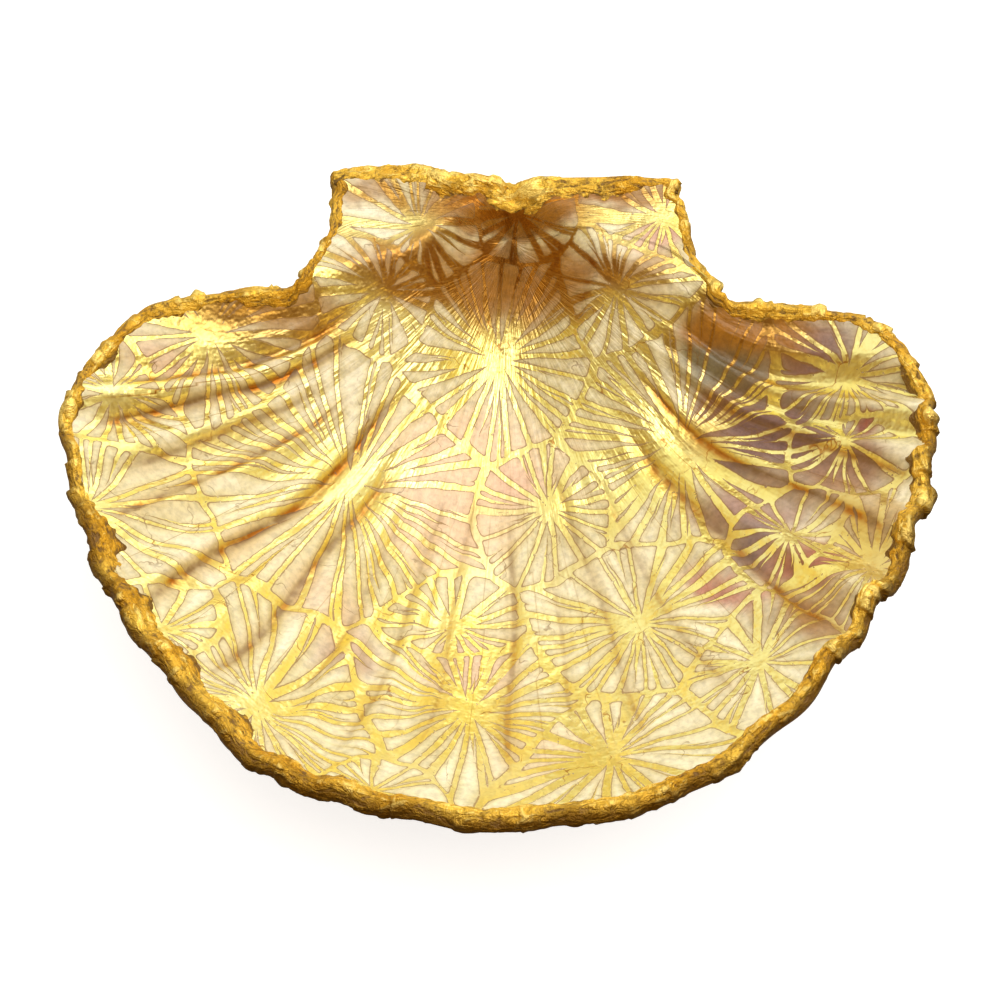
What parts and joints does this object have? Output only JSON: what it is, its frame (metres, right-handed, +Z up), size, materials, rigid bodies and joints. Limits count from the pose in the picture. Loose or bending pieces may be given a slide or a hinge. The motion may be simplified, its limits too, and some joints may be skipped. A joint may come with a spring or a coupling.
{
  "type": "scallop shell",
  "caption": "Scallop valve with fan ribs and an ear at each end of its hinge, lying hollow side up as a small dish, lined with gold-burst print and gilded along its rim.",
  "frame": {"origin": "middle of the bounding box's base, on the surface that the shell lies on", "axes": "+X along the hinge line towards the right ear as seen from above, +Y from the front margin towards the hinge, +Z up out of the hollow"},
  "size_m": [0.126, 0.1104, 0.0271],
  "materials": {
    "gilt_shell": "shell lime with a satin varnish, a cream and gold print in the hollow and crumpled gold leaf on the rim"
  },
  "bodies": {
    "root": {"scallop_shell": "gilt_shell"}
  },
  "joints": []
}
